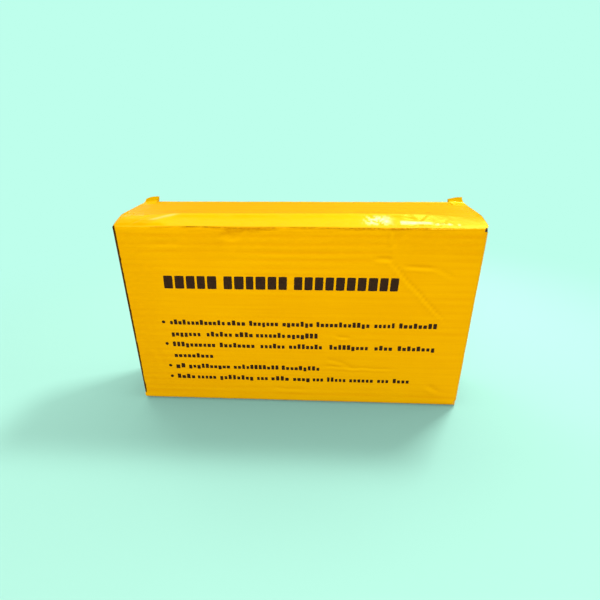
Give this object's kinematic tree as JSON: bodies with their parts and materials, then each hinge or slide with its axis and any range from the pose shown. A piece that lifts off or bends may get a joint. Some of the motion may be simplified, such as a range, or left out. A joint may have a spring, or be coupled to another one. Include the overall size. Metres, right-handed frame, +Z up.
{
  "type": "solar charge controller in its retail carton",
  "caption": "Small solar charge controller with display, keys and screw terminals, packed with a leaflet in a yellow tuck-end retail carton of fine fluted board.",
  "frame": {"origin": "centre of the base: midway between the two ends and between the front and back panels, on the outer face of the bottom lid", "axes": "+Z up, +X to the right seen from the printed front panel, +Y from the printed front panel to the back panel"},
  "size_m": [0.15, 0.034, 0.0925],
  "materials": {
    "printed_board": "glossy yellow printed liner over fine fluted board",
    "kraft_board": "bare brown liner",
    "leaflet_paper": "matt white paper",
    "heatsink": "brushed",
    "shell_plastic": "fine moulded texture",
    "overlay_film": "satin printed film",
    "clear_window": "clear, polished",
    "lcd_glass": "grey-green display",
    "diffuser": "milky white",
    "button_rubber": "matt",
    "circuit_board": "green solder mask",
    "terminal_plastic": "moulded green",
    "plated_steel": "bright zinc or nickel plate",
    "clamp_brass": "plain",
    "black_plastic": "moulded",
    "chip_black": "moulded epoxy",
    "ferrite": "copper wire over a ferrite ring, lacquered",
    "capacitor_sleeve": "printed sleeve"
  },
  "bodies": {
    "carton": {"carton_front_panel": "printed_board", "carton_back_panel": "printed_board", "carton_left_side_panel": "printed_board", "carton_right_side_panel": "printed_board", "carton_glue_flap": "kraft_board", "user_leaflet": "leaflet_paper"},
    "top_lid": {"top_lid": "printed_board"},
    "top_tuck_flap": {"top_tuck_flap": "printed_board"},
    "top_dust_flap_left": {"top_dust_flap_left": "printed_board"},
    "top_dust_flap_right": {"top_dust_flap_right": "printed_board"},
    "bottom_lid": {"bottom_lid": "printed_board"},
    "bottom_tuck_flap": {"bottom_tuck_flap": "printed_board"},
    "bottom_dust_flap_left": {"bottom_dust_flap_left": "printed_board"},
    "bottom_dust_flap_right": {"bottom_dust_flap_right": "printed_board"},
    "contents": {"heatsink_back_plate": "heatsink", "front_cover": "shell_plastic", "face_overlay": "overlay_film", "lcd_window": "clear_window", "lcd_panel": "lcd_glass", "lcd_backlight": "diffuser", "tact_switch_menu": "black_plastic", "tact_switch_up": "black_plastic", "tact_switch_down": "black_plastic", "main_pcb": "circuit_board", "terminal_block_housing": "terminal_plastic", "dc_jack_solar": "black_plastic", "dc_jack_lamp": "black_plastic", "usb_port_1": "plated_steel", "usb_port_2": "plated_steel", "mosfet_1": "chip_black", "mosfet_2": "chip_black", "mosfet_3": "chip_black", "inductor": "ferrite", "capacitor_1": "capacitor_sleeve", "capacitor_2": "capacitor_sleeve", "mcu_chip": "chip_black", "temperature_sensor": "chip_black", "cover_screw_1": "plated_steel", "cover_screw_2": "plated_steel", "cover_screw_3": "plated_steel", "cover_screw_4": "plated_steel"},
    "button_menu": {"button_menu": "button_rubber"},
    "button_up": {"button_up": "button_rubber"},
    "button_down": {"button_down": "button_rubber"},
    "terminal_screw_1": {"terminal_screw_1": "plated_steel"},
    "terminal_clamp_1": {"terminal_clamp_1": "clamp_brass"},
    "terminal_screw_2": {"terminal_screw_2": "plated_steel"},
    "terminal_clamp_2": {"terminal_clamp_2": "clamp_brass"},
    "terminal_screw_3": {"terminal_screw_3": "plated_steel"},
    "terminal_clamp_3": {"terminal_clamp_3": "clamp_brass"},
    "terminal_screw_4": {"terminal_screw_4": "plated_steel"},
    "terminal_clamp_4": {"terminal_clamp_4": "clamp_brass"},
    "terminal_screw_5": {"terminal_screw_5": "plated_steel"},
    "terminal_clamp_5": {"terminal_clamp_5": "clamp_brass"},
    "terminal_screw_6": {"terminal_screw_6": "plated_steel"},
    "terminal_clamp_6": {"terminal_clamp_6": "clamp_brass"}
  },
  "joints": [
    {"name": "contents_lift", "type": "slide", "parent": "carton", "child": "contents", "axis": [0, 0, 1], "range_m": [0, 0.042]},
    {"name": "top_lid_hinge", "type": "hinge", "parent": "carton", "child": "top_lid", "pos_m": [0, -0.017, 0.0863], "axis": [1, 0, 0], "range_deg": [0, 175]},
    {"name": "top_tuck_hinge", "type": "hinge", "parent": "top_lid", "child": "top_tuck_flap", "pos_m": [0, 0.0151, 0.09], "axis": [1, 0, 0], "range_deg": [0, 78.75]},
    {"name": "top_dust_hinge_left", "type": "hinge", "parent": "carton", "child": "top_dust_flap_left", "pos_m": [-0.075, 0.003, 0.0881], "axis": [0, -1, 0], "range_deg": [0, 105]},
    {"name": "top_dust_hinge_right", "type": "hinge", "parent": "carton", "child": "top_dust_flap_right", "pos_m": [0.075, 0.003, 0.0881], "axis": [0, 1, 0], "range_deg": [0, 105]},
    {"name": "bottom_lid_hinge", "type": "hinge", "parent": "carton", "child": "bottom_lid", "pos_m": [0, -0.017, 0.0022], "axis": [-1, 0, 0], "range_deg": [0, 175]},
    {"name": "bottom_tuck_hinge", "type": "hinge", "parent": "bottom_lid", "child": "bottom_tuck_flap", "pos_m": [0, 0.0151, 0], "axis": [-1, 0, 0], "range_deg": [0, 78.75]},
    {"name": "bottom_dust_hinge_left", "type": "hinge", "parent": "carton", "child": "bottom_dust_flap_left", "pos_m": [-0.075, 0.003, 0.0019], "axis": [0, 1, 0], "range_deg": [0, 178.5]},
    {"name": "bottom_dust_hinge_right", "type": "hinge", "parent": "carton", "child": "bottom_dust_flap_right", "pos_m": [0.075, 0.003, 0.0019], "axis": [0, -1, 0], "range_deg": [0, 178.5]},
    {"name": "button_menu_press", "type": "slide", "parent": "contents", "child": "button_menu", "axis": [0, 1, 0], "range_m": [0, 0.0006], "stiffness_N_per_m": 400, "springref_m": -0.0005},
    {"name": "button_up_press", "type": "slide", "parent": "contents", "child": "button_up", "axis": [0, 1, 0], "range_m": [0, 0.0006], "stiffness_N_per_m": 400, "springref_m": -0.0005},
    {"name": "button_down_press", "type": "slide", "parent": "contents", "child": "button_down", "axis": [0, 1, 0], "range_m": [0, 0.0006], "stiffness_N_per_m": 400, "springref_m": -0.0005},
    {"name": "terminal_clamp_1_slide", "type": "slide", "parent": "contents", "child": "terminal_clamp_1", "axis": [0, -1, 0], "range_m": [0, 0.0016]},
    {"name": "terminal_screw_1_turn", "type": "hinge", "parent": "contents", "child": "terminal_screw_1", "pos_m": [-0.0485, -0.007, 0.014], "axis": [0, 1, 0], "range_deg": [0, 1440]},
    {"name": "terminal_clamp_2_slide", "type": "slide", "parent": "contents", "child": "terminal_clamp_2", "axis": [0, -1, 0], "range_m": [0, 0.0016]},
    {"name": "terminal_screw_2_turn", "type": "hinge", "parent": "contents", "child": "terminal_screw_2", "pos_m": [-0.0395, -0.007, 0.014], "axis": [0, 1, 0], "range_deg": [0, 1440]},
    {"name": "terminal_clamp_3_slide", "type": "slide", "parent": "contents", "child": "terminal_clamp_3", "axis": [0, -1, 0], "range_m": [0, 0.0016]},
    {"name": "terminal_screw_3_turn", "type": "hinge", "parent": "contents", "child": "terminal_screw_3", "pos_m": [-0.0305, -0.007, 0.014], "axis": [0, 1, 0], "range_deg": [0, 1440]},
    {"name": "terminal_clamp_4_slide", "type": "slide", "parent": "contents", "child": "terminal_clamp_4", "axis": [0, -1, 0], "range_m": [0, 0.0016]},
    {"name": "terminal_screw_4_turn", "type": "hinge", "parent": "contents", "child": "terminal_screw_4", "pos_m": [-0.0215, -0.007, 0.014], "axis": [0, 1, 0], "range_deg": [0, 1440]},
    {"name": "terminal_clamp_5_slide", "type": "slide", "parent": "contents", "child": "terminal_clamp_5", "axis": [0, -1, 0], "range_m": [0, 0.0016]},
    {"name": "terminal_screw_5_turn", "type": "hinge", "parent": "contents", "child": "terminal_screw_5", "pos_m": [-0.0125, -0.007, 0.014], "axis": [0, 1, 0], "range_deg": [0, 1440]},
    {"name": "terminal_clamp_6_slide", "type": "slide", "parent": "contents", "child": "terminal_clamp_6", "axis": [0, -1, 0], "range_m": [0, 0.0016]},
    {"name": "terminal_screw_6_turn", "type": "hinge", "parent": "contents", "child": "terminal_screw_6", "pos_m": [-0.0035, -0.007, 0.014], "axis": [0, 1, 0], "range_deg": [0, 1440]}
  ],
  "couplings": [
    {"joint": "top_lid_hinge", "follows": "contents_lift", "rad_per_m": 72.715},
    {"joint": "top_tuck_hinge", "follows": "contents_lift", "rad_per_m": 32.722},
    {"joint": "top_dust_hinge_left", "follows": "contents_lift", "rad_per_m": 43.629},
    {"joint": "top_dust_hinge_right", "follows": "contents_lift", "rad_per_m": 43.629},
    {"joint": "bottom_tuck_hinge", "follows": "bottom_lid_hinge", "ratio": 0.4499},
    {"joint": "bottom_dust_hinge_left", "follows": "bottom_lid_hinge", "ratio": 1.0199},
    {"joint": "bottom_dust_hinge_right", "follows": "bottom_lid_hinge", "ratio": 1.0199},
    {"joint": "terminal_screw_1_turn", "follows": "terminal_clamp_1_slide", "rad_per_m": 15706},
    {"joint": "terminal_screw_2_turn", "follows": "terminal_clamp_2_slide", "rad_per_m": 15706},
    {"joint": "terminal_screw_3_turn", "follows": "terminal_clamp_3_slide", "rad_per_m": 15706},
    {"joint": "terminal_screw_4_turn", "follows": "terminal_clamp_4_slide", "rad_per_m": 15706},
    {"joint": "terminal_screw_5_turn", "follows": "terminal_clamp_5_slide", "rad_per_m": 15706},
    {"joint": "terminal_screw_6_turn", "follows": "terminal_clamp_6_slide", "rad_per_m": 15706}
  ]
}
